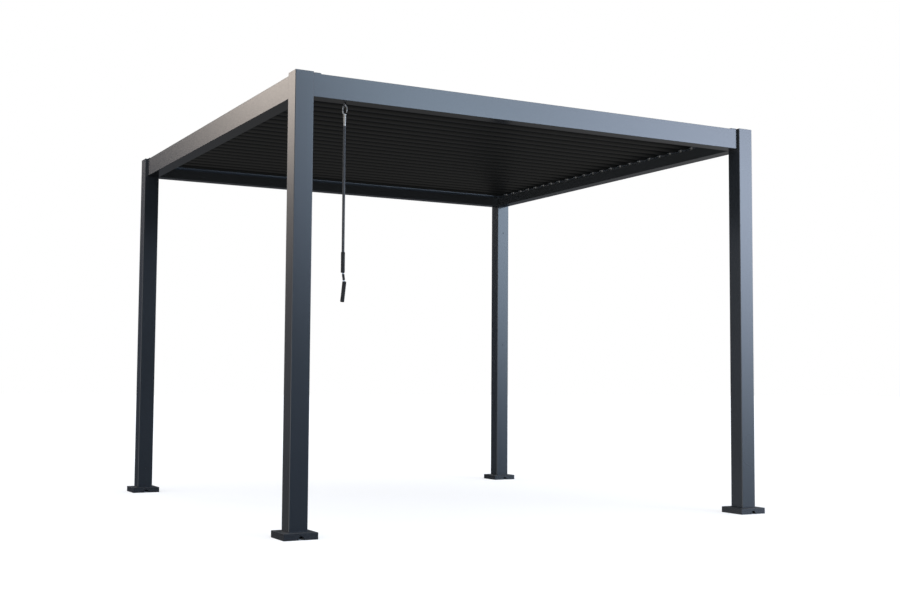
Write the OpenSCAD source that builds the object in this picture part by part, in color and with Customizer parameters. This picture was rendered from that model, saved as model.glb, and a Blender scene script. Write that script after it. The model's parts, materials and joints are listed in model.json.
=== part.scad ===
// Garden gazebo with a louvred roof: four square posts on covered feet, a ring of gutter beams,
// and a roof of blades that turn together, worked by a hand crank that hangs from the front gutter.
// Millimetres, +Z up. The origin is on the ground at the centre of the plan.
// X runs along the front beam and Y from the front beam to the rear one.

/* [Overall] */
// Width over the posts, along the front beam
width = 3000; // [2000:10:4000]
// Depth over the posts, front to rear
depth = 3000; // [2500:10:3600]
// Height from the ground to the beams' top edge
height = 2340; // [1900:10:3000]

/* [Posts] */
// Side of a square post
post_w = 100; // [96:1:130]
// Wall of a post
post_wall = 2; // [1.5:0.1:3]
// Outer corner radius of a post
post_corner = 3; // [2:0.1:6]
// Inner corner radius of a post, and the corner radius of what plugs into it
bore_corner = 1.5; // [0.5:0.1:4]
// Diameter of the fixing holes in the posts' bay faces
hole_d = 8; // [5:0.5:12]
// Height of the lowest fixing hole above the ground
hole_low = 170; // [140:5:400]
// Drop of the highest fixing hole below the beams
hole_drop = 220; // [60:5:500]
// Thickness of a post cap's plate
cap_t = 5; // [3:0.5:10]
// Chamfer round the top of a post cap
cap_chamfer = 1; // [0.5:0.5:2.5]
// Depth of the skirt that plugs a cap into its post
cap_skirt = 20; // [8:1:40]
// Wall of that skirt
cap_wall = 2; // [1.5:0.1:4]
// Gap between a post and what plugs into it
plug_clear = 0.3; // [0.1:0.05:0.6]

/* [Feet] */
// Margin of a base plate round its post
base_margin = 25; // [20:0.5:40]
// Thickness of a base plate
base_t = 6; // [4:0.5:12]
// Diameter of an anchor hole
anchor_d = 11; // [8:0.5:14]
// Distance of an anchor hole's centre from the post's faces
anchor_out = 13; // [8:0.5:16]
// Height of the spigot that stands up inside the post
spigot_h = 124; // [60:1:200]
// Wall of that spigot
spigot_wall = 3; // [2:0.5:6]
// Gap between a base plate's edge and the inside of its cover
cover_gap = 12; // [5:0.5:40]
// Height of a foot cover
cover_h = 35; // [26:1:60]
// Chamfer round the top of a foot cover
cover_chamfer = 1.5; // [0.5:0.5:4]
// Wall of a foot cover
cover_wall = 3; // [2:0.5:4]
// Gap between a foot cover and its post
cover_clear = 0.5; // [0.2:0.1:0.8]
// Gap between the two pieces of a foot cover
cover_seam = 0.4; // [0.2:0.1:0.8]
// Shift of that seam along X from the post's middle
seam_shift = 13; // [0:1:30]
// Width of the arched drain notch
notch_w = 28; // [16:1:36]
// Height of the arched drain notch
notch_h = 20; // [18:1:24]

/* [Beams] */
// Height of a beam
beam_h = 120; // [105:1:180]
// Step back of a beam's outer face from the posts' outer faces
beam_recess = 16; // [4:1:20]
// Wall of a beam
beam_wall = 2; // [1.5:0.1:3]
// Corner radius of a beam's closed box
beam_corner = 1.5; // [0.5:0.5:2]
// Width of a beam's closed box
box_w = 44; // [36:1:48]
// Height of the gutter's lip
lip_h = 66; // [50:1:80]
// Width of the bead along the lip's top
bead_w = 6; // [4:0.5:10]
// Thickness of that bead
bead_t = 3; // [2:0.5:5]
// Length of the plate on top of each beam end
end_tab_l = 38; // [20:1:80]
// Gap between that plate and the post's cap
end_tab_gap = 8; // [2:0.5:20]
// Step back of that plate from the sides of the beam's box
end_tab_step = 1.5; // [0:0.5:6]

/* [Louvres] */
// Number of blades
louvre_count = 25; // [22:1:28]
// Space between a beam and the end of the row of blades
edge_gap = 12.5; // [12:0.5:60]
// Space between a side beam's lip and a blade's end
end_gap = 6; // [5:0.5:30]
// Height of the pivots above the gutters' lips
pivot_over_lip = 16; // [14:1:22]
// Height of a blade's top above its pivot
blade_top = 16; // [15:0.5:20]
// Depth of a blade's keel below its pivot
blade_keel = 9; // [7:0.5:11]
// Depth of a blade's edges below its pivot
blade_edge = 3; // [2:0.5:5]
// Width of the flat along the keel
keel_w = 12; // [6:1:30]
// Wall of a blade
blade_wall = 1.5; // [1:0.1:2]
// Thickness of the rain channel and of the tongue over it
rim_t = 2; // [1.5:0.1:2.5]
// Clear gap all round a tongue in its neighbour's rain channel
rim_gap = 6; // [5:0.5:7]
// Reach of the rain channel past the middle of the seam
channel_reach = 3; // [1:0.5:6]
// Gap from a blade's rear wall to its neighbour's rain channel
rear_gap = 8; // [6:0.5:12]
// Thickness of a blade's end plates
end_plate = 4; // [3:0.5:8]
// Diameter of a pivot pin
pin_d = 8; // [6:0.5:9]
// Running gap round a pivot pin
pin_clear = 0.05; // [0.02:0.01:0.1]
// Reach of a pivot pin past the inside of its end plate
pin_reach = 2; // [0:0.5:6]

/* [Link bar] */
// Place of the link holes, rearward of the pivots
link_back = 26; // [20:1:30]
// Place of the link holes, below the blades' tops
link_drop = 5; // [4:0.5:6]
// Thickness of the link bar
link_t = 4; // [3:0.5:6]
// Height of the link bar
link_h = 7; // [6:0.5:8]
// Length of the link bar past its end pins
link_end = 12; // [6:1:20]
// Diameter of a link pin
link_pin_d = 4.4; // [3:0.1:5]
// Gap round a link pin
link_clear = 0.3; // [0.2:0.05:0.5]

/* [Crank drive] */
// Distance of the crank from the front left post
crank_offset = 205; // [190:5:600]
// Thickness of the gearbox's foot
gearbox_foot = 4; // [2:0.5:6]
// Diameter of the barrel round the gearbox's worm
barrel_d = 26; // [14:1:30]
// Diameter of the screw holes in the gearbox's foot
screw_hole_d = 4.5; // [3:0.5:6]
// Length of the screw-down ears at the ends of the foot
gearbox_ear = 14; // [8:1:30]
// Height of the gearbox
gearbox_h = 46; // [36:1:60]
// Gap between the gearbox and the gutter's sides
gearbox_gap = 2; // [1:0.5:5]
// Diameter of the hole in the gutter floor under the gearbox
floor_hole_d = 18; // [16:1:24]
// Diameter of the eye's shank
shank_d = 8; // [6:0.5:10]
// Length of the eye's shank inside the gearbox
shank_l = 24; // [12:1:30]
// Running gap round the eye's shank
shank_clear = 0.1; // [0.02:0.01:0.3]
// Inside diameter of the eye
eye_d = 12; // [10:0.5:16]
// Diameter of the eye's wire
eye_wire = 6; // [4:0.5:7]
// Gap between the eye's ring and the gearbox
eye_gap = 1; // [0.5:0.5:10]

/* [Crank] */
// Width of the hook
hook_w = 28; // [24:1:40]
// Height of the hook
hook_h = 50; // [40:1:70]
// Diameter of the hook's wire
hook_wire = 5.6; // [4:0.2:6]
// Straight length of wire along the hook's top
hook_flat = 10; // [8:1:14]
// Gap between hook and eye where they hang
hook_clear = 0.3; // [0.1:0.05:0.6]
// Length of the ferrule below the hook
ferrule_l = 60; // [40:1:90]
// Diameter of the ferrule at its top
ferrule_top_d = 18; // [14:0.5:20]
// Step in from the rod to the ferrule's foot
ferrule_step = 0.7; // [0.2:0.1:1]
// Length of the ferrule's stem inside the rod
stem_l = 30; // [10:1:60]
// Diameter of the rod
rod_d = 15; // [12:0.5:18]
// Wall of the rod
rod_wall = 1.2; // [0.8:0.1:2]
// Length of the rod between ferrule and grip
rod_l = 656; // [300:1:1200]
// Gap between the rod and what fits on or in it
rod_clear = 0.1; // [0.05:0.05:0.3]
// Wall of the grip round the rod
grip_wall = 3; // [2:0.5:6]
// Length of the grip and of the handle
grip_l = 107; // [90:1:160]
// Length of the rod inside the grip
rod_in_grip = 62; // [30:1:66]
// Round at the ends of the grip and of the handle
grip_round = 3; // [1:0.5:5]
// Number of finger grooves round the grip and the handle
groove_count = 6; // [2:1:9]
// Distance between finger grooves
groove_pitch = 9; // [7:0.5:10]
// Width of a finger groove
groove_w = 4; // [2:0.5:6]
// Depth of a finger groove
groove_depth = 0.6; // [0.2:0.1:1]
// Distance between the fold pins of the crank's arm
arm_l = 63; // [50:1:140]
// Width of the arm
arm_w = 10; // [8:0.5:12]
// Thickness of the arm
arm_t = 4; // [3:0.5:6]
// Distance of a fold pin from the end of its grip
fold_inset = 9; // [8:0.5:12]
// Diameter of a fold pin
fold_pin_d = 4; // [3:0.5:5]
// Gap round a fold pin and beside the arm
fold_clear = 0.4; // [0.3:0.05:0.8]
// Lean of the arm, where it hangs out of line
arm_lean = 8; // [0:1:15]
// Lean of the handle below it, the other way
handle_lean = 6; // [0:1:15]

/* [Hidden] */
$fn = 48;
frame_color = "#4b5157";
blade_color = "#5a6067";
cover_color = "#303337";
steel_color = "#b9bcc0";
grip_color = "#1b1c1e";

// Plan and heights
half_x = width / 2;
half_y = depth / 2;
post_x = half_x - post_w / 2;
post_y = half_y - post_w / 2;
bay_x = half_x - post_w;
bay_y = half_y - post_w;
base_w = post_w + 2 * base_margin;
cover_w = base_w + 2 * cover_gap + 2 * cover_wall;
beam_w = post_w - beam_recess;
beam_z = height - beam_h;
post_bore = post_w - 2 * post_wall;
plug_w = post_bore - 2 * plug_clear;
gutter_mid = (box_w + beam_w - beam_wall) / 2;
gutter_clear_w = beam_w - beam_wall - box_w;
hole_high = beam_z - hole_drop;
hole_heights = [hole_low, (hole_low + hole_high) / 2, hole_high];

// Blades: the profile is drawn in (y, z) about its pivot, closed
pitch = (2 * bay_y - 2 * edge_gap) / louvre_count;
pivot_z = beam_z + lip_h + pivot_over_lip;
channel_front = -pitch / 2 - channel_reach;
body_front = channel_front + 2 * rim_t + 2 * rim_gap;
body_rear = pitch / 2 - channel_reach - rear_gap;
tongue_rear = pitch / 2 - channel_reach + 2 * rim_t + rim_gap;
channel_top = blade_top - rim_t - rim_gap;
tongue_foot = rim_t + rim_gap - blade_edge;
blade_half = bay_x - end_gap;
pin_root = half_x - beam_recess - box_w;
pin_tip = blade_half - end_plate - pin_reach;
link_x = half_x - beam_recess - gutter_mid;
link_up = blade_top - link_drop;

// Crank: heights run down from the eye
crank_x = -bay_x + crank_offset;
crank_y = -half_y + beam_recess + gutter_mid;
gearbox_z = beam_z + beam_wall;
eye_ring = (eye_d + eye_wire) / 2;
eye_z = gearbox_z - eye_gap - eye_ring - eye_wire / 2;
hook_z = eye_z - eye_d / 2 + hook_wire / 2 + hook_clear;
hook_side = (hook_w - hook_wire) / 2;
hook_corner = hook_side - hook_flat / 2;
hook_turn_z = hook_z - hook_h + hook_wire + hook_side;
ferrule_top_z = hook_turn_z - hook_side;
ferrule_foot_d = rod_d - 2 * ferrule_step;
ferrule_foot_z = hook_z + hook_wire / 2 - hook_h - ferrule_l;
rod_bore = rod_d - 2 * rod_wall;
grip_d = rod_d + 2 * grip_wall;
grip_top_z = ferrule_foot_z - rod_l;
arm_z = grip_top_z - grip_l + fold_inset;
arm_end_x = crank_x + arm_l * sin(arm_lean);
arm_end_z = arm_z - arm_l * cos(arm_lean);
fork_gap = arm_t + 2 * fold_clear;
fork_room = arm_w / 2 + 3 * fold_clear;

louvre_names = [for (i = [1 : louvre_count]) str("louvre_", i < 10 ? "0" : "", i)];

// A square with rounded corners, about its centre
module rounded_square(side, radius) {
    square([side, side - 2 * radius], center = true);
    square([side - 2 * radius, side], center = true);
    for (sx = [-1, 1], sy = [-1, 1])
        translate([sx * (side / 2 - radius), sy * (side / 2 - radius)])
            circle(radius);
}

// Puts a copy of its children at each of the four posts
module at_posts() {
    for (sx = [-1, 1], sy = [-1, 1])
        translate([sx * post_x, sy * post_y, 0])
            children();
}

// One post: a square tube with fixing holes in its bay face, windows where the gutters
// drain into it and an outlet at its foot; sx and sy say which corner it stands at
module post(sx, sy) {
    color(frame_color)
        translate([sx * post_x, sy * post_y, 0])
            mirror([sx > 0 ? 1 : 0, 0, 0])
                mirror([0, sy > 0 ? 1 : 0, 0])
                    difference() {
                        translate([0, 0, base_t])
                            linear_extrude(height - base_t)
                                difference() {
                                    rounded_square(post_w, post_corner);
                                    rounded_square(post_bore, bore_corner);
                                }
                        for (z = hole_heights)
                            translate([0, post_w / 2 - post_wall / 2, z])
                                rotate([90, 0, 0])
                                    cylinder(h = 2 * post_wall, d = hole_d, center = true);
                        drain_windows();
                        drain_arch();
                    }
}

// Cutters for the gutters' windows, at the ends of the two beams that meet a post
module drain_windows() {
    window = gutter_clear_w - 2 * beam_wall;
    side = beam_recess + gutter_mid - post_w / 2;
    for (turn = [0, 1])
        mirror([turn, -turn, 0])
            translate([post_w / 2 - 2 * post_wall, side - window / 2, beam_z + beam_wall])
                cube([3 * post_wall, window, lip_h / 2]);
}

// Cutter for the arched drain through a foot, front and rear
module drain_arch() {
    rotate([90, 0, 0])
        linear_extrude(2 * cover_w, center = true) {
            translate([0, notch_h - notch_w / 2])
                circle(d = notch_w);
            translate([-notch_w / 2, -1])
                square([notch_w, notch_h - notch_w / 2 + 1]);
        }
}

module front_left_post() post(-1, -1);
module front_right_post() post(1, -1);
module rear_left_post() post(-1, 1);
module rear_right_post() post(1, 1);

// Flat caps that plug into the posts' tops
module post_caps() {
    color(frame_color)
        at_posts() {
            translate([0, 0, height])
                intersection() {
                    linear_extrude(cap_t)
                        rounded_square(post_w, post_corner);
                    chamfered_block(post_w, cap_t, cap_chamfer);
                }
            translate([0, 0, height - cap_skirt])
                linear_extrude(cap_skirt + cap_t / 2)
                    difference() {
                        rounded_square(plug_w, bore_corner);
                        square(plug_w - 2 * cap_wall, center = true);
                    }
        }
}

// Bolt-down plates, each with a spigot inside its post
module base_plates() {
    anchor = post_w / 2 + anchor_out;
    color(steel_color)
        at_posts() {
            difference() {
                translate([-base_w / 2, -base_w / 2, 0])
                    cube([base_w, base_w, base_t]);
                for (sx = [-1, 1], sy = [-1, 1])
                    translate([sx * anchor, sy * anchor, -1])
                        cylinder(h = base_t + 2, d = anchor_d);
            }
            difference() {
                translate([0, 0, base_t / 2])
                    linear_extrude(base_t / 2 + spigot_h)
                        difference() {
                            rounded_square(plug_w, bore_corner);
                            square(plug_w - 2 * spigot_wall, center = true);
                        }
                drain_arch();
            }
        }
}

// Two-piece covers round the feet: open shells, parted beside an arched drain notch
module foot_covers() {
    inside = cover_w - 2 * cover_wall;
    color(cover_color)
        at_posts()
            difference() {
                chamfered_block(cover_w, cover_h, cover_chamfer);
                translate([-inside / 2, -inside / 2, -1])
                    cube([inside, inside, cover_h - cover_wall + 1]);
                translate([0, 0, cover_h / 2])
                    linear_extrude(cover_h)
                        rounded_square(post_w + 2 * cover_clear, post_corner + cover_clear);
                translate([seam_shift - cover_seam / 2, -cover_w, -1])
                    cube([cover_seam, 2 * cover_w, cover_h + 2]);
                drain_arch();
            }
}

// A square block with its top edges chamfered, as two crossed prisms
module chamfered_block(side, tall, chamfer) {
    intersection_for(turn = [0, 90])
        rotate([90, 0, turn])
            linear_extrude(side, center = true)
                polygon([
                    [-side / 2, 0], [side / 2, 0],
                    [side / 2, tall - chamfer], [side / 2 - chamfer, tall],
                    [chamfer - side / 2, tall], [-side / 2, tall - chamfer]
                ]);
}

// Outline of a beam's closed box: rounded corners, but for the one that runs on into the gutter's floor
module box_outline() {
    translate([beam_corner, 0])
        square([box_w - 2 * beam_corner, beam_h]);
    translate([0, beam_corner])
        square([box_w, beam_h - 2 * beam_corner]);
    translate([box_w - beam_corner, 0])
        square(beam_corner);
    for (at = [[0, 0], [0, 1], [1, 1]])
        translate([
            beam_corner + at[0] * (box_w - 2 * beam_corner),
            beam_corner + at[1] * (beam_h - 2 * beam_corner)
        ])
            circle(beam_corner);
}

// Section of a beam: x runs inward from the outer face, y up from the underside
module beam_section() {
    difference() {
        box_outline();
        translate([beam_wall, beam_wall])
            square([box_w - 2 * beam_wall, beam_h - 2 * beam_wall]);
    }
    translate([beam_corner, 0])
        square([beam_w - beam_corner, beam_wall]);
    translate([beam_w - beam_wall, 0])
        square([beam_wall, lip_h]);
    translate([beam_w - bead_w, lip_h - bead_t])
        square([bead_w, bead_t]);
}

// A beam along X on the front side of a frame that is that deep
module beam(length, frame_half) {
    translate([-length / 2, beam_recess - frame_half, beam_z])
        rotate([90, 0, 90])
            linear_extrude(length)
                beam_section();
}

// The front beam has a hole in its gutter floor for the crank's eye
module front_beam() {
    color(frame_color)
        difference() {
            beam(2 * bay_x, half_y);
            translate([crank_x, crank_y, beam_z - 1])
                cylinder(h = beam_wall + 2, d = floor_hole_d);
        }
}

module rear_beam() {
    color(frame_color)
        rotate([0, 0, 180])
            beam(2 * bay_x, half_y);
}

module left_beam() {
    color(frame_color)
        rotate([0, 0, -90])
            beam(2 * bay_y, half_x);
}

module right_beam() {
    color(frame_color)
        rotate([0, 0, 90])
            beam(2 * bay_y, half_x);
}

// Plates screwed down on the beams' ends, level with the caps: two for each post
module beam_end_plates() {
    outer = post_w / 2 - beam_recess - end_tab_step;
    wide = box_w - 2 * end_tab_step;
    color(frame_color)
        for (sx = [0, 1], sy = [0, 1])
            mirror([sx, 0, 0])
                mirror([0, sy, 0])
                    translate([-post_x, -post_y, height])
                        for (turn = [0, 1])
                            mirror([turn, -turn, 0])
                                translate([post_w / 2 + end_tab_gap, -outer, 0])
                                    cube([end_tab_l, wide, cap_t]);
}

// Distance of a blade's pivot line from the centre of the plan
function louvre_y(i) = (i - (louvre_count - 1) / 2) * pitch;

// Outline of a blade's hollow body, drawn in by a wall's thickness
module blade_body(inset) {
    polygon([
        [body_front + inset, inset - blade_edge],
        [-keel_w / 2, inset - blade_keel],
        [keel_w / 2, inset - blade_keel],
        [body_rear - inset, inset - blade_edge],
        [body_rear - inset, blade_top - inset],
        [body_front + inset, blade_top - inset]
    ]);
}

// Section of a blade: the hollow body, the rain channel along its front edge
// and the tongue along its rear edge that hangs into the next blade's channel
module blade_section() {
    difference() {
        blade_body(0);
        blade_body(blade_wall);
    }
    translate([channel_front, -blade_edge])
        square([body_front - channel_front + blade_wall, rim_t]);
    translate([channel_front, -blade_edge])
        square([rim_t, channel_top + blade_edge]);
    translate([body_rear - blade_wall, blade_top - rim_t])
        square([tongue_rear - body_rear + blade_wall, rim_t]);
    translate([tongue_rear - rim_t, tongue_foot])
        square([rim_t, blade_top - tongue_foot]);
}

// Turns a section drawn in (y, z) so that it runs along X
module along_x(length) {
    rotate([90, 0, 90])
        linear_extrude(length)
            children();
}

// One blade with its end plates, bored for the pivot pins and, at the left, for the link
module louvre(i) {
    color(blade_color)
        translate([0, louvre_y(i), pivot_z])
            difference() {
                union() {
                    translate([-blade_half, 0, 0])
                        along_x(2 * blade_half)
                            blade_section();
                    for (side = [-blade_half, blade_half - end_plate])
                        translate([side, 0, 0])
                            along_x(end_plate)
                                blade_body(0);
                }
                for (side = [-1, 1])
                    translate([side * (blade_half - end_plate / 2), 0, 0])
                        rotate([0, 90, 0])
                            cylinder(h = 2 * end_plate, d = pin_d + 2 * pin_clear, center = true);
                translate([end_plate / 2 - blade_half, link_back, link_up])
                    rotate([0, 90, 0])
                        cylinder(h = 2 * end_plate, d = link_pin_d + 2 * link_clear, center = true);
            }
}

// The pins that carry the blades, from a side beam's box across its gutter
module pivot_pins(side) {
    color(steel_color)
        for (i = [0 : louvre_count - 1])
            translate([side > 0 ? pin_tip : -pin_root, louvre_y(i), pivot_z])
                rotate([0, 90, 0])
                    cylinder(h = pin_root - pin_tip, d = pin_d);
}

module left_pivot_pins() pivot_pins(-1);
module right_pivot_pins() pivot_pins(1);

// The bar over the left gutter that turns all the blades together, with a pin for each
module louvre_link_bar() {
    first = louvre_y(0) + link_back - link_end;
    last = louvre_y(louvre_count - 1) + link_back + link_end;
    color(steel_color) {
        translate([-link_x - link_t / 2, first, pivot_z + link_up - link_h / 2])
            cube([link_t, last - first, link_h]);
        for (y = [first, last])
            translate([-link_x, y, pivot_z + link_up])
                rotate([0, 90, 0])
                    cylinder(h = link_t, d = link_h, center = true);
        for (i = [0 : louvre_count - 1])
            translate([-link_x, louvre_y(i) + link_back, pivot_z + link_up])
                rotate([0, 90, 0])
                    cylinder(h = link_x - blade_half + end_plate, d = link_pin_d);
    }
}

// The worm gearbox in the front gutter: a screw-down foot, a barrel for the worm, bored for
// the eye's shank, and a round housing for the wheel beside it
module crank_gearbox() {
    wide = gutter_clear_w - 2 * gearbox_gap;
    wheel_r = (gearbox_h - gearbox_foot) / 2;
    left = -barrel_d / 2 - gearbox_ear;
    right = 2 * wheel_r + gearbox_ear;
    color(cover_color)
        translate([crank_x, crank_y, gearbox_z])
            difference() {
                union() {
                    translate([left, -wide / 2, 0])
                        cube([right - left, wide, gearbox_foot]);
                    cylinder(h = gearbox_h - gearbox_foot, d = barrel_d);
                    translate([wheel_r, 0, gearbox_foot + wheel_r])
                        rotate([90, 0, 0])
                            cylinder(h = wide - 2 * gearbox_gap, r = wheel_r, center = true);
                    translate([0, gearbox_gap - wide / 2, 0])
                        cube([2 * wheel_r, wide - 2 * gearbox_gap, gearbox_foot + wheel_r]);
                }
                translate([0, 0, -1])
                    cylinder(h = shank_l + 2, d = shank_d + 2 * shank_clear);
                for (x = [left + gearbox_ear / 2, right - gearbox_ear / 2])
                    translate([x, 0, -1])
                        cylinder(h = gearbox_foot + 2, d = screw_hole_d);
            }
}

// The eye below the gearbox: a ring in the Y-Z plane on a round shank
module gearbox_eye() {
    color(steel_color)
        translate([crank_x, crank_y, 0]) {
            translate([0, 0, eye_z])
                rotate([0, 90, 0])
                    rotate_extrude()
                        translate([eye_ring, 0])
                            circle(d = eye_wire);
            translate([0, 0, eye_z + eye_ring])
                cylinder(h = gearbox_z + shank_l - eye_z - eye_ring, d = shank_d);
        }
}

// A bend of wire in the X-Z plane, from one angle through a sweep
module wire_bend(radius, start, sweep) {
    rotate([90, 0, 0])
        rotate([0, 0, start])
            rotate_extrude(angle = sweep)
                translate([radius, 0])
                    circle(d = hook_wire);
}

// The open hook and the tapered ferrule that joins it to the rod
module crank_hook() {
    color(steel_color)
        translate([crank_x, crank_y, 0]) {
            translate([0, 0, hook_z])
                rotate([0, 90, 0])
                    cylinder(h = hook_flat, d = hook_wire, center = true);
            for (side = [-1, 1]) {
                translate([side * hook_flat / 2, 0, hook_z - hook_corner])
                    wire_bend(hook_corner, side > 0 ? 0 : 90, 90);
                translate([side * hook_side, 0, hook_turn_z])
                    cylinder(h = hook_z - hook_corner - hook_turn_z, d = hook_wire);
            }
            translate([0, 0, hook_turn_z])
                wire_bend(hook_side, 180, 90);
            translate([hook_side, 0, hook_turn_z])
                sphere(d = hook_wire);
            translate([0, 0, ferrule_foot_z])
                cylinder(h = ferrule_top_z - ferrule_foot_z, d1 = ferrule_foot_d, d2 = ferrule_top_d);
            translate([0, 0, ferrule_foot_z - stem_l])
                cylinder(h = stem_l + 1, d = rod_bore - 2 * rod_clear);
        }
}

// The tube between ferrule and grip
module crank_rod() {
    color(frame_color)
        translate([crank_x, crank_y, grip_top_z - rod_in_grip])
            difference() {
                cylinder(h = rod_l + rod_in_grip, d = rod_d);
                translate([0, 0, -1])
                    cylinder(h = rod_l + rod_in_grip + 2, d = rod_bore);
            }
}

// Half the outline of a grip: rounded ends, and shallow grooves about its middle
module grip_profile() {
    difference() {
        union() {
            square([grip_d / 2 - grip_round, grip_l]);
            translate([0, grip_round])
                square([grip_d / 2, grip_l - 2 * grip_round]);
            for (z = [grip_round, grip_l - grip_round])
                translate([grip_d / 2 - grip_round, z])
                    circle(grip_round);
        }
        for (i = [0 : groove_count - 1])
            translate([grip_d / 2, grip_l / 2 + (i - (groove_count - 1) / 2) * groove_pitch])
                polygon([[0, -groove_w / 2], [0, groove_w / 2], [-groove_depth, 0]]);
    }
}

// A grip with its fork at the foot, round a fold pin at the origin
module forked_grip() {
    difference() {
        translate([0, 0, -fold_inset])
            rotate_extrude()
                grip_profile();
        translate([-grip_d, -fork_gap / 2, -fold_inset - 1])
            cube([2 * grip_d, fork_gap, fold_inset + 1 + fork_room]);
    }
    rotate([90, 0, 0])
        cylinder(h = grip_d - 2 * grip_round, d = fold_pin_d, center = true);
}

// The upper grip, socketed on the rod
module crank_grip() {
    color(grip_color)
        translate([crank_x, crank_y, arm_z])
            difference() {
                forked_grip();
                translate([0, 0, grip_l - fold_inset - rod_in_grip])
                    cylinder(h = rod_in_grip + 1, d = rod_d + 2 * rod_clear);
            }
}

// The folding arm between grip and handle, leaning as it hangs
module crank_arm() {
    color(steel_color)
        translate([crank_x, crank_y, arm_z])
            rotate([90, -arm_lean, 0])
                linear_extrude(arm_t, center = true)
                    difference() {
                        union() {
                            translate([-arm_w / 2, -arm_l])
                                square([arm_w, arm_l]);
                            for (y = [0, -arm_l])
                                translate([0, y])
                                    circle(d = arm_w);
                        }
                        for (y = [0, -arm_l])
                            translate([0, y])
                                circle(d = fold_pin_d + 2 * fold_clear);
                    }
}

// The lower handle, its fork upward round the arm's end
module crank_handle() {
    color(grip_color)
        translate([arm_end_x, crank_y, arm_end_z])
            rotate([0, 180 + handle_lean, 0])
                forked_grip();
}

front_left_post();
front_right_post();
rear_left_post();
rear_right_post();
post_caps();
base_plates();
foot_covers();
front_beam();
rear_beam();
left_beam();
right_beam();
beam_end_plates();
for (i = [0 : louvre_count - 1])
    louvre(i);
left_pivot_pins();
right_pivot_pins();
louvre_link_bar();
crank_gearbox();
gearbox_eye();
crank_hook();
crank_rod();
crank_grip();
crank_arm();
crank_handle();
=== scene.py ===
import json
import math

import bmesh
import bpy
import numpy as np
from mathutils import Matrix


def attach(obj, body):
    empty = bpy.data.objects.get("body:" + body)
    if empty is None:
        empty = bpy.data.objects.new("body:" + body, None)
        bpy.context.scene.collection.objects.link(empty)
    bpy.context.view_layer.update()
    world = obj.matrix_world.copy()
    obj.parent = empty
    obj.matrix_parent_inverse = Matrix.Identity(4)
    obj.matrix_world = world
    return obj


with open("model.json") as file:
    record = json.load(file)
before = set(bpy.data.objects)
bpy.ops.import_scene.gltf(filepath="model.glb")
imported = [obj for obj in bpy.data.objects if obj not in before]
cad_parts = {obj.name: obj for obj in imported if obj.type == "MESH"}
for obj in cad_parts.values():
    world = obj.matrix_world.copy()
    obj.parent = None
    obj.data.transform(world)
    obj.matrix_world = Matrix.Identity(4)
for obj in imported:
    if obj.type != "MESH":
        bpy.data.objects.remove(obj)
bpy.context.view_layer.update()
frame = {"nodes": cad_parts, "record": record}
nodes = frame["nodes"]
scene = bpy.context.scene
print("frame loaded:", len(nodes), "nodes")


# sRGB hex to linear: a channel c becomes c / 12.92 up to 0.04045, and ((c + 0.055) / 1.055) ^ 2.4 above it
def linear(hexColour):
    c = np.array([int(hexColour[i:i + 2], 16) for i in (1, 3, 5)]) / 255
    c = np.where(c <= 0.04045, c / 12.92, ((c + 0.055) / 1.055) ** 2.4)
    return (*[float(v) for v in c], 1.0)


def grey(value):
    return (value, value, value, 1.0)


# adds one node, with its settings; an input is a number, a colour or another node's output
def addNode(tree, kind, settings, inputs):
    node = tree.nodes.new("ShaderNode" + kind)
    for key, value in settings.items():
        setattr(node, key, value)
    for key, value in inputs.items():
        if isinstance(value, bpy.types.NodeSocket):
            tree.links.new(value, node.inputs[key])
        else:
            node.inputs[key].default_value = value
    return node


# a new material, its node tree, and the piece's own coordinates to hang patterns on
def startMaterial(name):
    material = bpy.data.materials.new(name)
    material.use_nodes = True
    tree = material.node_tree
    tree.nodes.clear()
    return material, tree, addNode(tree, "TexCoord", {}, {}).outputs


# the material's surface shader, fed by numbers, colours and patterns
def finishMaterial(material, surface):
    shader = addNode(material.node_tree, "BsdfPrincipled", {}, surface)
    addNode(material.node_tree, "OutputMaterial", {}, {"Surface": shader.outputs[0]})
    return material


# the part of a pattern over which a change takes place: most of a noise, its middle for patches, its upper
# half for specks of dust, and for a face the upright share of its normal, from sloping to flat
spans = {
    "noise": {"From Min": 0.3, "From Max": 0.7}, "patch": {"From Min": 0.35, "From Max": 0.65},
    "speck": {"From Min": 0.45, "From Max": 0.75}, "flat": {"From Min": 0.6, "From Max": 1.0}}


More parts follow.
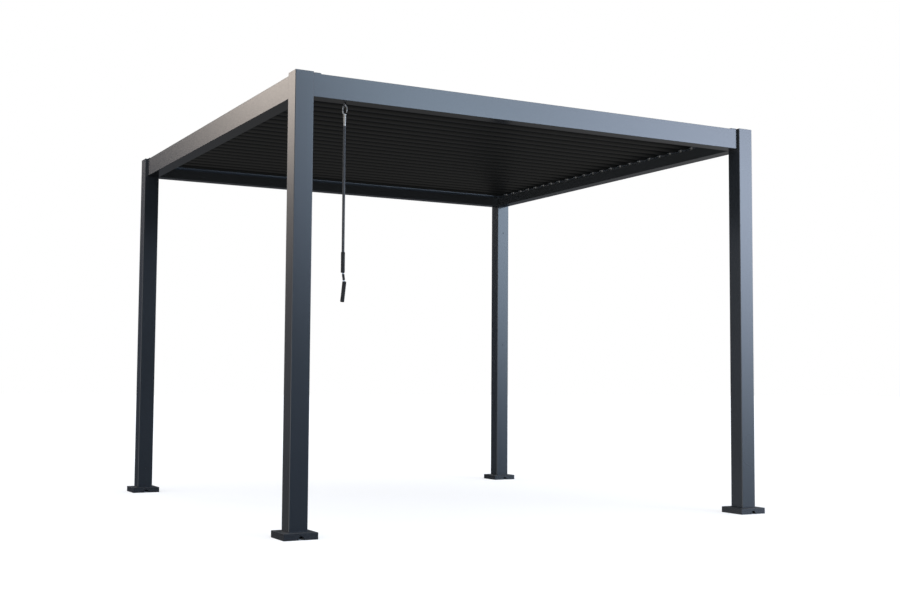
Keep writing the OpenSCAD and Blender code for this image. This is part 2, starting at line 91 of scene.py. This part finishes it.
# Polyester powder coat, sprayed on aluminium and baked: a dark satin skin whose orange peel softens
# what it mirrors, with a slow drift of shade along a bar, and tops that sun has dulled and rain left dusty
def powderCoat(name, look):
    material, tree, place = startMaterial(name)
    drift = addNode(tree, "TexNoise", {}, {
        "Vector": place["Object"], "Scale": 1000 / look["driftMm"], "Detail": 3.0})
    peel = addNode(tree, "TexNoise", {}, {
        "Vector": place["Object"], "Scale": 1000 / look["peelMm"], "Detail": 2.0})
    speck = addNode(tree, "TexNoise", {}, {
        "Vector": place["Object"], "Scale": 1000 / look["dustMm"], "Detail": 6.0})
    up = addNode(tree, "SeparateXYZ", {}, {"Vector": place["Normal"]})
    shade = addNode(tree, "MapRange", {}, {"Value": drift.outputs["Fac"], **spans["noise"]})
    body = addNode(tree, "Mix", {"data_type": "RGBA"}, {
        "Factor": shade.outputs[0], "A": linear(look["colour"]), "B": linear(look["drift"])})
    flat = addNode(tree, "MapRange", {}, {"Value": up.outputs["Z"], **spans["flat"]})
    lies = addNode(tree, "MapRange", {}, {
        "Value": speck.outputs["Fac"], **spans["speck"], "To Max": look["dust"]})
    dusty = addNode(tree, "Math", {"operation": "MULTIPLY"}, {0: flat.outputs[0], 1: lies.outputs[0]})
    colour = addNode(tree, "Mix", {"data_type": "RGBA"}, {
        "Factor": dusty.outputs[0], "A": body.outputs["Result"], "B": linear(look["dustColour"])})
    low, high = look["roughness"]
    rough = addNode(tree, "MapRange", {}, {
        "Value": peel.outputs["Fac"], **spans["noise"], "To Min": low, "To Max": high})
    duller = addNode(tree, "Math", {"operation": "MULTIPLY_ADD"}, {
        0: flat.outputs[0], 1: look["chalk"], 2: rough.outputs[0]})
    bump = addNode(tree, "Bump", {}, {
        "Height": peel.outputs["Fac"], "Strength": look["peel"], "Distance": look["peelDepthMm"] / 1000})
    return finishMaterial(material, {
        "Specular IOR Level": look["gloss"], "Base Color": colour.outputs["Result"],
        "Roughness": duller.outputs[0], "Normal": bump.outputs[0]})


# the peel of a real coat is about 1 mm; it is drawn at 3 to 5 mm so that it shows from this far
frameCoat = powderCoat("powder_coat_anthracite", {
    "colour": "#21252a", "drift": "#1d2125", "dustColour": "#6f7274", "gloss": 0.5, "roughness": (0.15, 0.22),
    "driftMm": 700, "peelMm": 5, "peelDepthMm": 0.03, "peel": 0.07, "dustMm": 6, "dust": 0.05, "chalk": 0.35})

# painted light: the gutters' inner lips are greyed lighter, standing in for light that falls on them; the
# grey lies where |x| and
# |y| are both within the lips and z is above the beams' underside
paintedLipLight = {"within": 1.401, "above": 2.2, "colour": "#8b8a84", "amount": 0.055}
frameTree = frameCoat.node_tree
frameSkin = frameTree.nodes["Principled BSDF"].inputs["Base Color"]
framePlace = frameTree.nodes["Texture Coordinate"].outputs["Object"]
at = addNode(frameTree, "SeparateXYZ", {}, {"Vector": framePlace}).outputs
wide = addNode(frameTree, "Math", {"operation": "ABSOLUTE"}, {0: at["X"]})
deep = addNode(frameTree, "Math", {"operation": "ABSOLUTE"}, {0: at["Y"]})
far = addNode(frameTree, "Math", {"operation": "MAXIMUM"}, {0: wide.outputs[0], 1: deep.outputs[0]})
inside = addNode(frameTree, "Math", {"operation": "LESS_THAN"}, {0: far.outputs[0], 1: paintedLipLight["within"]})
raised = addNode(frameTree, "Math", {"operation": "GREATER_THAN"}, {0: at["Z"], 1: paintedLipLight["above"]})
both = addNode(frameTree, "Math", {"operation": "MULTIPLY"}, {0: inside.outputs[0], 1: raised.outputs[0]})
share = addNode(frameTree, "MapRange", {}, {"Value": both.outputs[0], "To Max": paintedLipLight["amount"]})
# painted light: the mix that greys the inner lips lighter
greyed = addNode(frameTree, "Mix", {"data_type": "RGBA"}, {
    "Factor": share.outputs[0], "A": frameSkin.links[0].from_socket, "B": linear(paintedLipLight["colour"])})
frameTree.links.new(greyed.outputs["Result"], frameSkin)

# painted shade: the blades wear the frame's anthracite coat, and this copy of it is darker and duller, for
# the dimmer light under the roof
bladeCoatPaintedShade = powderCoat("powder_coat_anthracite_blade_painted_shade", {
    "colour": "#131516", "drift": "#101213", "dustColour": "#6f7274", "gloss": 0.1, "roughness": (0.32, 0.42),
    "driftMm": 900, "peelMm": 5, "peelDepthMm": 0.03, "peel": 0.1, "dustMm": 6, "dust": 0.05, "chalk": 0.4})

# painted shade: the sheen follows a sine across each blade, full at the keel and low at the joints, and so
# draws dark stripes along the joints of the roof; at scale 1 the sine is pi / 10 m long
paintedShadeStripes = {"pitchMm": 111, "sheen": (0.02, 0.12), "unevenness": 0.2}
bladeTree = bladeCoatPaintedShade.node_tree
wave = addNode(bladeTree, "TexWave", {"bands_direction": "Y"}, {
    "Vector": bladeTree.nodes["Texture Coordinate"].outputs["Object"],
    "Scale": 100 * math.pi / paintedShadeStripes["pitchMm"], "Distortion": paintedShadeStripes["unevenness"], "Phase Offset": math.pi})
sheen = addNode(bladeTree, "MapRange", {}, {
    "Value": wave.outputs["Fac"], "To Min": paintedShadeStripes["sheen"][0], "To Max": paintedShadeStripes["sheen"][1]})
bladeTree.links.new(sheen.outputs[0], bladeTree.nodes["Principled BSDF"].inputs["Specular IOR Level"])

coverCoat = powderCoat("powder_coat_dark_cover", {
    "colour": "#1d2024", "drift": "#191b1f", "dustColour": "#77746e", "gloss": 0.45, "roughness": (0.2, 0.28),
    "driftMm": 200, "peelMm": 4, "peelDepthMm": 0.03, "peel": 0.1, "dustMm": 12, "dust": 0.07, "chalk": 0.35})
tubeCoat = powderCoat("powder_coat_crank_tube", {
    "colour": "#202226", "drift": "#1b1d20", "dustColour": "#6f7274", "gloss": 0.4, "roughness": (0.4, 0.5),
    "driftMm": 150, "peelMm": 3, "peelDepthMm": 0.03, "peel": 0.1, "dustMm": 20, "dust": 0.1, "chalk": 0.1})
housingCoat = powderCoat("powder_coat_black_die_cast", {
    "colour": "#1c1d1f", "drift": "#242527", "dustColour": "#6f7274", "gloss": 0.4, "roughness": (0.4, 0.55),
    "driftMm": 60, "peelMm": 3, "peelDepthMm": 0.03, "peel": 0.15, "dustMm": 12, "dust": 0.1, "chalk": 0.1})


# Bare or plated metal: a metallic base whose roughness is drawn out along one axis by brushing or drawing,
# and broken by cloudy patches of plating or handling; real lines are about 0.1 mm wide, and they are drawn
# at about 1 mm so that they show
def plainMetal(name, look):
    wear = {"patchDull": 0.08, "relief": 0.15, "depthMm": 0.03}
    material, tree, place = startMaterial(name)
    along = addNode(tree, "Mapping", {}, {"Vector": place["Object"], "Scale": look["stretch"]})
    lines = addNode(tree, "TexNoise", {}, {
        "Vector": along.outputs[0], "Scale": 1000 / look["lineMm"], "Detail": 2.0})
    cloud = addNode(tree, "TexNoise", {}, {
        "Vector": place["Object"], "Scale": 1000 / look["cloudMm"], "Detail": 4.0})
    patch = addNode(tree, "MapRange", {}, {"Value": cloud.outputs["Fac"], **spans["patch"]})
    colour = addNode(tree, "Mix", {"data_type": "RGBA"}, {
        "Factor": patch.outputs[0], "A": linear(look["colour"]), "B": linear(look["dull"])})
    low, high = look["roughness"]
    rough = addNode(tree, "MapRange", {}, {
        "Value": lines.outputs["Fac"], **spans["noise"], "To Min": low, "To Max": high})
    worn = addNode(tree, "Math", {"operation": "MULTIPLY_ADD"}, {
        0: patch.outputs[0], 1: wear["patchDull"], 2: rough.outputs[0]})
    bump = addNode(tree, "Bump", {}, {
        "Height": lines.outputs["Fac"], "Strength": wear["relief"], "Distance": wear["depthMm"] / 1000})
    return finishMaterial(material, {
        "Metallic": 1.0, "Base Color": colour.outputs["Result"], "Roughness": worn.outputs[0],
        "Normal": bump.outputs[0]})


zincBright = plainMetal("zinc_plated_steel_bright", {
    "colour": "#8d8b87", "dull": "#73716d", "roughness": (0.3, 0.42), "stretch": (1, 1, 0.1), "lineMm": 0.8,
    "cloudMm": 14})
zincArm = plainMetal("zinc_plated_steel_strip", {
    "colour": "#9c9c9b", "dull": "#878786", "roughness": (0.3, 0.42), "stretch": (1, 1, 0.1), "lineMm": 0.8,
    "cloudMm": 14})
zincDark = plainMetal("zinc_plated_steel_black_passivated", {
    "colour": "#2c2d30", "dull": "#232426", "roughness": (0.42, 0.55), "stretch": (1, 1, 0.2), "lineMm": 0.8,
    "cloudMm": 9})
stainless = plainMetal("stainless_steel_turned", {
    "colour": "#c9c8c4", "dull": "#b5b4b0", "roughness": (0.2, 0.34), "stretch": (6, 1, 1), "lineMm": 1.2,
    "cloudMm": 20})
pinSteel = plainMetal("stainless_steel_drawn_dull", {
    "colour": "#6c6c6a", "dull": "#5c5c5a", "roughness": (0.4, 0.52), "stretch": (0.1, 1, 1), "lineMm": 0.8,
    "cloudMm": 20})
millBar = plainMetal("aluminium_mill_finish", {
    "colour": "#8e9194", "dull": "#7c7f82", "roughness": (0.34, 0.46), "stretch": (1, 0.03, 1), "lineMm": 0.7,
    "cloudMm": 60})
dullSteel = plainMetal("zinc_plated_steel_dull", {
    "colour": "#86878a", "dull": "#6d6e70", "roughness": (0.32, 0.46), "stretch": (1, 1, 1), "lineMm": 1.5,
    "cloudMm": 6})


# Hot-dip galvanised steel: pale zinc that froze in flat crystals, each with its own grey and its own gloss
def galvanised(name, look):
    material, tree, place = startMaterial(name)
    crystal = addNode(tree, "TexVoronoi", {}, {
        "Vector": place["Object"], "Scale": 1000 / look["spangleMm"]})
    tone = addNode(tree, "SeparateColor", {}, {"Color": crystal.outputs["Color"]})
    colour = addNode(tree, "Mix", {"data_type": "RGBA"}, {
        "Factor": tone.outputs["Red"], "A": linear(look["colour"]), "B": linear(look["dull"])})
    low, high = look["roughness"]
    rough = addNode(tree, "MapRange", {}, {"Value": tone.outputs["Green"], "To Min": low, "To Max": high})
    return finishMaterial(material, {
        "Metallic": 1.0, "Base Color": colour.outputs["Result"], "Roughness": rough.outputs[0]})


zincSpangle = galvanised("steel_hot_dip_galvanised", {
    "colour": "#7f8386", "dull": "#65696c", "roughness": (0.4, 0.6), "spangleMm": 11})


# Moulded plastic: an even colour under a fine spark-eroded grain, smoother where it is handled; the grain of
# a real mould is about 0.2 mm, and it is drawn at about 1 mm so that it shows
def mouldedPlastic(name, look):
    relief = {"strength": 0.25, "depthMm": 0.05}
    material, tree, place = startMaterial(name)
    grain = addNode(tree, "TexNoise", {}, {
        "Vector": place["Object"], "Scale": 1000 / look["grainMm"], "Detail": 3.0})
    wear = addNode(tree, "TexNoise", {}, {
        "Vector": place["Object"], "Scale": 1000 / look["wearMm"], "Detail": 3.0})
    shade = addNode(tree, "MapRange", {}, {"Value": wear.outputs["Fac"], **spans["patch"]})
    colour = addNode(tree, "Mix", {"data_type": "RGBA"}, {
        "Factor": shade.outputs[0], "A": linear(look["colour"]), "B": linear(look["worn"])})
    low, high = look["roughness"]
    rough = addNode(tree, "MapRange", {}, {
        "Value": wear.outputs["Fac"], **spans["noise"], "To Min": high, "To Max": low})
    bump = addNode(tree, "Bump", {}, {
        "Height": grain.outputs["Fac"], "Strength": relief["strength"], "Distance": relief["depthMm"] / 1000})
    return finishMaterial(material, {
        "IOR": look["ior"], "Specular IOR Level": look["gloss"], "Base Color": colour.outputs["Result"],
        "Roughness": rough.outputs[0], "Normal": bump.outputs[0]})


gripPlastic = mouldedPlastic("polypropylene_black_grained", {
    "colour": "#0f1012", "worn": "#151618", "roughness": (0.55, 0.68), "ior": 1.49, "gloss": 0.25,
    "grainMm": 0.8, "wearMm": 18})
bushPlastic = mouldedPlastic("acetal_grey", {
    "colour": "#6f6e6b", "worn": "#62615e", "roughness": (0.35, 0.5), "ior": 1.48, "gloss": 0.5,
    "grainMm": 1.0, "wearMm": 12})

finishes = {
    "frame_coat": frameCoat, "louvre_coat": bladeCoatPaintedShade, "foot_cover_coat": coverCoat, "crank_tube": tubeCoat,
    "galvanised_steel": zincSpangle, "stainless_pins": pinSteel, "aluminium_bar": millBar,
    "gearbox_housing": housingCoat, "gearbox_eye_steel": dullSteel, "hook_steel": zincBright,
    "grip_plastic": gripPlastic, "arm_steel": zincArm}
for part in frame["record"]["subparts"]:
    nodes[part["node"]].data.materials.clear()
    nodes[part["node"]].data.materials.append(finishes[part["material_slot"]])

# points nearer than weld, in metres, become one; edges that turn more than sharp, in degrees, stay sharp
meshing = {"weld": 1e-6, "sharp": 35}


# a mesh piece made of copies of one grid of points: rows follow the profile, and close where it is a ring;
# columns go round and close
def addPiece(name, grids, material, body, ringProfile=False):
    copies, rows, columns = grids.shape[:3]
    index = np.arange(copies * rows * columns).reshape(copies, rows, columns)
    here, there = (index, np.roll(index, -1, 1)) if ringProfile else (index[:, :-1], index[:, 1:])
    faces = np.stack([here, np.roll(here, -1, 2), np.roll(there, -1, 2), there], -1).reshape(-1, 4)
    mesh = bpy.data.meshes.new(name)
    mesh.from_pydata(grids.reshape(-1, 3).tolist(), [], faces.tolist())
    work = bmesh.new()
    work.from_mesh(mesh)
    bmesh.ops.remove_doubles(work, verts=work.verts, dist=meshing["weld"])
    bmesh.ops.recalc_face_normals(work, faces=work.faces)
    work.to_mesh(mesh)
    work.free()
    mesh.shade_smooth()
    mesh.set_sharp_from_angle(angle=math.radians(meshing["sharp"]))
    mesh.materials.append(material)
    piece = bpy.data.objects.new(name, mesh)
    scene.collection.objects.link(piece)
    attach(piece, body)


# a turned shape at each place: point = place + along * axis + out * (cos t * side + sin t * other), where a
# row marked with six corners has out * cos 30 / cos(t mod 60 - 30) in place of out, which is a hexagon
def turned(profile, places, axis, columns):
    along, out, corners = np.array(profile).T
    axis = np.array(axis, float)
    side = np.roll(axis, 1)
    t = np.arange(columns) * 2 * np.pi / columns
    circle = np.cos(t)[:, None] * side + np.sin(t)[:, None] * np.cross(axis, side)
    hexagon = np.cos(np.pi / 6) / np.cos(t % (np.pi / 3) - np.pi / 6)
    reach = out[:, None] * np.where(corners[:, None] == 6, hexagon, 1.0)
    shape = along[:, None, None] * axis + reach[:, :, None] * circle
    return np.array(places)[:, None, None, :] + shape / 1000


# one place for each y of a row
def inRow(x, y, z):
    return np.stack(np.broadcast_arrays(x, y, z), 1)


# rows of (along, out, corners) in mm, with a head's underside closed at its pole
headProfiles = {
    "button": [(0, 0, 0), (0, 5.2, 0), (0.5, 5.25, 0), (1.3, 5.0, 0), (2.2, 4.4, 0), (2.8, 3.6, 0),
               (3.1, 2.9, 0), (3.15, 2.7, 0), (2.9, 2.45, 6), (1.3, 2.4, 6), (0.9, 0, 0)],
    "pan": [(0, 0, 0), (0, 3.8, 0), (1.2, 3.8, 0), (2.0, 3.1, 0), (2.3, 1.7, 0), (2.1, 1.5, 6), (1.1, 1.4, 6),
            (0.9, 0, 0)],
    "rivet": [(-1, 0, 0), (-1, 3.2, 0), (0.3, 3.2, 0), (0.8, 2.6, 0), (1.1, 1.4, 0), (1.15, 0, 0)]}

# blade pivots: a flanged bush in each box wall and a spacer at each blade's end, both round the 8 mm pin
pivots = {
    "count": 25, "pitch": 0.111, "height": 2.302, "wall": 1.440, "bladeEnd": 1.394, "gap": 0.0002,
    "columns": 24,
    "bush": [(0, 4.1, 0), (0, 9.7, 0), (0.3, 10, 0), (2.2, 10, 0), (2.5, 9.7, 0), (2.6, 7, 0), (5.6, 6.8, 0),
             (6, 6.4, 0), (6, 4.1, 0)],
    "spacer": [(0, 4.1, 0), (0, 7.7, 0), (0.3, 8, 0), (1.2, 8, 0), (1.5, 7.7, 0), (1.5, 4.1, 0)]}
pivotY = (np.arange(pivots["count"]) - (pivots["count"] - 1) / 2) * pivots["pitch"]
for side, sign in (("left", -1), ("right", 1)):
    atWall = inRow(sign * pivots["wall"], pivotY, pivots["height"])
    atBlade = inRow(sign * (pivots["bladeEnd"] + pivots["gap"]), pivotY, pivots["height"])
    bushes = turned(pivots["bush"], atWall, (-sign, 0, 0), pivots["columns"])
    spacers = turned(pivots["spacer"], atBlade, (sign, 0, 0), pivots["columns"])
    addPiece(side + "_pivot_bushes", bushes, bushPlastic, "frame", True)
    addPiece(side + "_pivot_spacers", spacers, bushPlastic, "frame", True)

# blade end plates: two pan-head screws in each, clear of the pivot and of the link's hole
endScrews = {"behind": np.array((-0.036, 0.042)), "rise": 0.0065, "columns": 12}
screwHeight = pivots["height"] + endScrews["rise"]
for number, y in enumerate(pivotY, 1):
    blade = f"louvre_{number:02d}"
    heads = []
    for sign in (-1, 1):
        places = inRow(sign * pivots["bladeEnd"], y + endScrews["behind"], screwHeight)
        heads.append(turned(headProfiles["pan"], places, (sign, 0, 0), endScrews["columns"]))
    addPiece(blade + "_end_screws", np.concatenate(heads), zincDark, blade)

# link bar: the peened end of each link pin
linkEnds = {"x": -1.423, "behind": 0.026, "height": 2.313, "columns": 16}
places = inRow(linkEnds["x"], pivotY + linkEnds["behind"], linkEnds["height"])
heads = turned(headProfiles["rivet"], places, (-1, 0, 0), linkEnds["columns"])
addPiece("link_pin_heads", heads, stainless, "link_bar")

# beam end plates: two button-head socket screws in each, along the beam
plateScrews = {"along": 1.373, "across": 1.462, "apart": 0.020, "top": 2.345, "columns": 36}
pair = [plateScrews["along"] + way * plateScrews["apart"] / 2 for way in (-1, 1)]
places = [(sx * along, sy * plateScrews["across"], plateScrews["top"])
          for sx in (-1, 1) for sy in (-1, 1) for along in pair]
places += [(y, x, z) for x, y, z in places]
heads = turned(headProfiles["button"], places, (0, 0, 1), plateScrews["columns"])
addPiece("beam_end_plate_screws", heads, stainless, "frame")

# gearbox: a screw through each ear of its foot
earScrews = {"x": (-1.215, -1.146), "y": -1.421, "top": 2.226, "columns": 24}
places = [(x, earScrews["y"], earScrews["top"]) for x in earScrews["x"]]
heads = turned(headProfiles["pan"], places, (0, 0, 1), earScrews["columns"])
addPiece("gearbox_screws", heads, stainless, "frame")

# crank: the riveted ends of the two fold pins, on the flanks of grip and handle
foldRivets = {"crank": (-1.195, 1.3449), "handle": (-1.18623, 1.28251), "y": -1.421, "out": 0.0105,
              "columns": 24}
for body in ("crank", "handle"):
    x, z = foldRivets[body]
    heads = []
    for sign in (-1, 1):
        places = [(x, foldRivets["y"] + sign * foldRivets["out"], z)]
        heads.append(turned(headProfiles["rivet"], places, (0, sign, 0), foldRivets["columns"]))
    addPiece(body + "_fold_rivets", np.concatenate(heads), zincDark, body)

# crank arm: a black sleeve over the middle of the strip, with the strip's ends left bare; its section is an
# oblong with rounded corners, across = sign(cos t) |cos t|^(2/p) and thick = sign(sin t) |sin t|^(2/p), times
# half sizes; rows are (along, growth of the half sizes) in mm
armSleeve = {"pin": (-1.195, -1.421, 1.3449), "lean": math.radians(8), "start": 16, "half": (5, 2),
             "power": 8, "columns": 32,
             "rows": [(0, 0.4), (0, 0.9), (0.4, 1.2), (30.6, 1.2), (31, 0.9), (31, 0.4)]}
down = np.array((math.sin(armSleeve["lean"]), 0, -math.cos(armSleeve["lean"])))
across = np.array((math.cos(armSleeve["lean"]), 0, math.sin(armSleeve["lean"])))
thick = np.array((0, 1, 0))
t = np.arange(armSleeve["columns"]) * 2 * np.pi / armSleeve["columns"]
oblong = [np.sign(c) * np.abs(c) ** (2 / armSleeve["power"]) for c in (np.cos(t), np.sin(t))]
along, grow = np.array(armSleeve["rows"]).T
sleeve = (armSleeve["start"] + along)[:, None, None] * down
for half, reach, way in zip(armSleeve["half"], oblong, (across, thick)):
    sleeve = sleeve + ((half + grow)[:, None] * reach)[:, :, None] * way
sleeve = np.array(armSleeve["pin"]) + sleeve[None] / 1000
addPiece("crank_arm_sleeve", sleeve, gripPlastic, "arm", True)
print("fixings added")

# the camera's axes: it looks along (sin yaw cos pitch, cos yaw cos pitch, sin pitch), and the picture's right
# and up are turned about that line by the roll
camera = {"place": (-3.734, -7.279, 0.775), "yaw": 0.4957, "pitch": 0.0662, "roll": 0.0067, "lens": 49.62,
          "sensor": 36.0, "clip": 200.0}
ahead = np.array([math.sin(camera["yaw"]) * math.cos(camera["pitch"]),
                  math.cos(camera["yaw"]) * math.cos(camera["pitch"]), math.sin(camera["pitch"])])
level = np.cross(ahead, (0, 0, 1))
level = level / np.linalg.norm(level)
upright = np.cross(level, ahead)
right = math.cos(camera["roll"]) * level + math.sin(camera["roll"]) * upright
top = math.cos(camera["roll"]) * upright - math.sin(camera["roll"]) * level
eye = bpy.data.objects.new("photo_camera", bpy.data.cameras.new("photo_camera"))
eye.data.lens = camera["lens"]
eye.data.sensor_width = camera["sensor"]
eye.data.clip_end = camera["clip"]
turn = np.eye(4)
turn[:3, :3] = np.stack([right, top, -ahead], 1)
turn[:3, 3] = camera["place"]
eye.matrix_world = Matrix(turn.tolist())
scene.collection.objects.link(eye)
scene.camera = eye

# plain pale floor, seen by the camera only, so that the coat mirrors a dim ground and not a white one: it
# glows a little, which keeps it as white as the backdrop and leaves the shadows faint; inside the foot covers
# a near-black patch under each foot, lying just above the rest, is painted shade
floor = {"half": 60.0, "shade": 0.42, "glow": 0.6, "dark": 0.01, "foot": 0.0875, "feet": 1.45, "lift": 0.0003}
floorPaint = finishMaterial(startMaterial("floor_paint_white")[0], {
    "Base Color": grey(floor["shade"]), "Roughness": 1.0, "Specular IOR Level": 0.0,
    "Emission Color": grey(1.0), "Emission Strength": floor["glow"]})
# painted shade: the near-black paint of the patches under the foot covers
floorPaintedShade = finishMaterial(startMaterial("floor_painted_shade")[0], {
    "Base Color": grey(floor["dark"]), "Roughness": 1.0})
square = np.array([(-1, -1, 0), (1, -1, 0), (1, 1, 0), (-1, 1, 0)])
patches = square[:, None] * (floor["feet"], floor["feet"], 0) + square * floor["foot"] + (0, 0, floor["lift"])
corners = np.concatenate([square[None] * floor["half"], patches]).reshape(-1, 3)
floorMesh = bpy.data.meshes.new("floor")
floorMesh.from_pydata(corners.tolist(), [], np.arange(len(corners)).reshape(-1, 4).tolist())
floorMesh.materials.append(floorPaint)
floorMesh.materials.append(floorPaintedShade)
floorMesh.polygons.foreach_set("material_index", [0, 1, 1, 1, 1])
ground = bpy.data.objects.new("floor", floorMesh)
scene.collection.objects.link(ground)
ground.visible_glossy = False
ground.visible_diffuse = False

# studio light from all round: an even fill whose strength goes by height, and banks of light that each have
# a strength by bearing (degrees from the front, positive to the right) times a strength by height (degrees
# above the horizon), with a bank's edges leaning as they rise; the camera itself sees plain white
studio = {
    "fill": [(-90, 0.5, "#f4f2ee"), (-60, 0.5, "#f4f2ee"), (-40, 0.4, "#f4f2ee"), (-26, 0.17, "#f8f6f2"),
             (-14, 0.115, "#f4f2ee"), (-5, 0.08, "#c8dcff"), (2, 0.11, "#c4d8ff"), (20, 0.2, "#e8f0ff"),
             (50, 0.75, "#f0f5ff"), (90, 1.2, "#f0f5ff")],
    "banks": [
        {"lean": 0.6,
         "edge": [(18, 0.0, "#d3e4ff"), (22, 0.6, "#c8deff"), (25, 1.1, "#c8deff"), (28, 2.5, "#cfe4ff"),
                  (30, 6.0, "#d4e6ff"), (32, 8.8, "#d0e8ff"), (34, 10.0, "#d0e8ff"), (38, 8.2, "#d2e7ff"),
                  (42, 9.6, "#d4e6ff"), (48, 12.6, "#d9e7ff"), (54, 8.0, "#dbe7ff"), (62, 3.0, "#dbe7ff"),
                  (80, 2.0, "#e6efff"), (125, 2.0, "#ffffff"), (150, 0.0, "#ffffff")],
         "height": [(-30, 0.0), (-9, 0.05), (-4, 0.18), (0, 0.38), (3, 0.64), (6, 0.86), (9, 1.0), (11, 0.95),
                    (13, 0.7), (25, 0.55), (60, 0.2)]},
        {"lean": 0.0,
         "edge": [(-165, 0.0, "#ffffff"), (-163, 0.6, "#fff6ec"), (-161, 4.4, "#fff2e6"),
                  (-158.5, 5.4, "#fff0e2"), (-155, 2.6, "#fff0e2"), (-152, 0.0, "#ffffff")],
         "height": [(-30, 0.0), (-6, 0.03), (1, 0.05), (4, 0.08), (8, 0.18), (11, 0.55), (14, 1.0), (18, 1.0),
                    (25, 0.7), (60, 0.2)]},
        {"lean": 0.0,
         "edge": [(-146, 0.0, "#ffffff"), (-139, 0.25, "#f0f5ff"), (-125, 1.8, "#ffffff"),
                  (-60, 2.2, "#ffffff"), (-20, 1.2, "#ffffff"), (4, 0.3, "#ffffff"), (11, 0.05, "#ffffff"),
                  (20, 0.0, "#ffffff")],
         "height": [(-50, 0.2), (-25, 1.0), (3, 1.0), (25, 0.8), (60, 0.2)]}],
    "white": 1.0}
world = bpy.data.worlds.new("studio")
scene.world = world
world.use_nodes = True
sky = world.node_tree
sky.nodes.clear()


# a colour ramp over an angle, from stops of (degrees, strength, tint), read between low and high degrees; a
# stop without a tint is white
def angleRamp(angle, low, high, stops):
    span = addNode(sky, "MapRange", {}, {
        "Value": angle, "From Min": math.radians(low), "From Max": math.radians(high)})
    ramp = addNode(sky, "ValToRGB", {}, {"Fac": span.outputs[0]})
    ramp.color_ramp.interpolation = "EASE"
    while len(ramp.color_ramp.elements) < len(stops):
        ramp.color_ramp.elements.new(0.5)
    for element, (degrees, strength, *tint) in zip(ramp.color_ramp.elements, stops):
        element.position = (degrees - low) / (high - low)
        element.color = (*[strength * v for v in linear(*tint or ["#ffffff"])[:3]], 1.0)
    return ramp.outputs[0]


ray = addNode(sky, "TexCoord", {}, {})
axes = addNode(sky, "SeparateXYZ", {}, {"Vector": ray.outputs["Generated"]}).outputs
front = addNode(sky, "Math", {"operation": "MULTIPLY"}, {0: axes["Y"], 1: -1.0})
bearing = addNode(sky, "Math", {"operation": "ARCTAN2"}, {0: axes["X"], 1: front.outputs[0]})
height = addNode(sky, "Math", {"operation": "ARCSINE"}, {0: axes["Z"]})
total = angleRamp(height.outputs[0], -90, 90, studio["fill"])
for bank in studio["banks"]:
    leant = addNode(sky, "Math", {"operation": "MULTIPLY_ADD"}, {
        0: height.outputs[0], 1: bank["lean"], 2: bearing.outputs[0]})
    byBearing = angleRamp(leant.outputs[0], -180, 180, bank["edge"])
    byHeight = angleRamp(height.outputs[0], -90, 90, bank["height"])
    lit = addNode(sky, "VectorMath", {"operation": "MULTIPLY"}, {0: byBearing, 1: byHeight}).outputs[0]
    total = addNode(sky, "VectorMath", {"operation": "ADD"}, {0: total, 1: lit}).outputs[0]
glow = addNode(sky, "Background", {}, {"Color": total})
blank = addNode(sky, "Background", {}, {"Color": grey(1.0), "Strength": studio["white"]})
seen = addNode(sky, "LightPath", {}, {}).outputs["Is Camera Ray"]
shown = addNode(sky, "MixShader", {}, {0: seen, 1: glow.outputs[0], 2: blank.outputs[0]})
addNode(sky, "OutputWorld", {}, {"Surface": shown.outputs[0]})
scene.view_settings.view_transform = "Standard"
print("camera, floor and light set")
